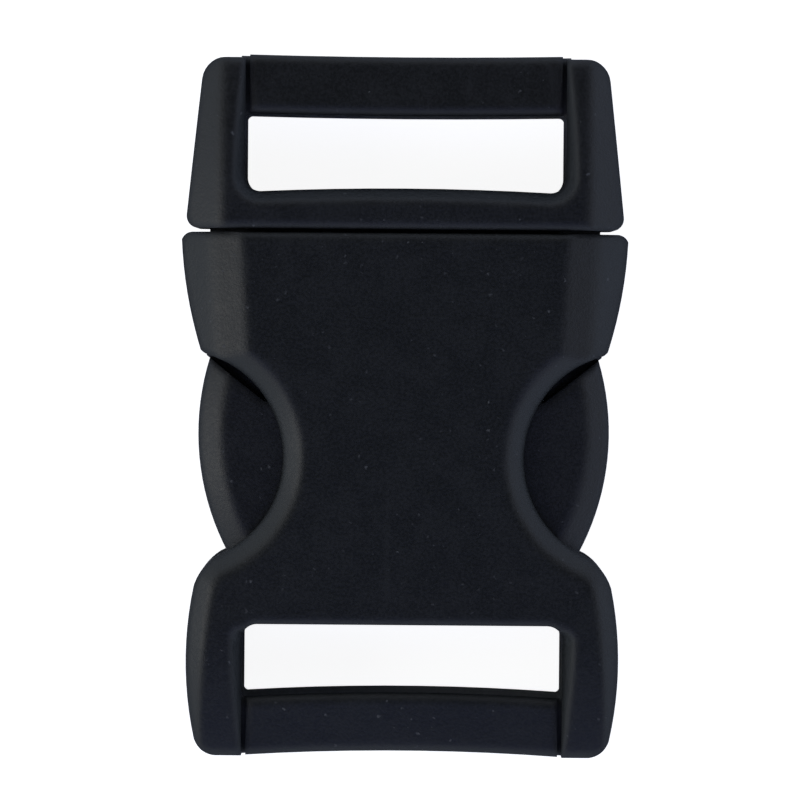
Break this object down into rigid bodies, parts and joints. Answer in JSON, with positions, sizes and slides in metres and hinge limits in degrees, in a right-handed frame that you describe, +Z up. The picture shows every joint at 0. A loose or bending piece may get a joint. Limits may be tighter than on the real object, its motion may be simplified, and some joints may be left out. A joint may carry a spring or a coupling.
{
  "type": "side release buckle",
  "caption": "Fastened black plastic side release buckle with a flat strap slot and web bar at each end and a squeeze button in each side cut-out.",
  "frame": {"origin": "centre of the bounding box, on the plane that the buckle rests on", "axes": "+Y along the strap from the socket's end to the plug's end, +X across the strap, +Z up out of the upper face"},
  "size_m": [0.037, 0.0577, 0.0106],
  "materials": {
    "socket_plastic": "fine satin moulded black acetal",
    "plug_plastic": "fine satin moulded black acetal"
  },
  "bodies": {
    "root": {"socket": "socket_plastic", "plug": "plug_plastic"}
  },
  "joints": []
}
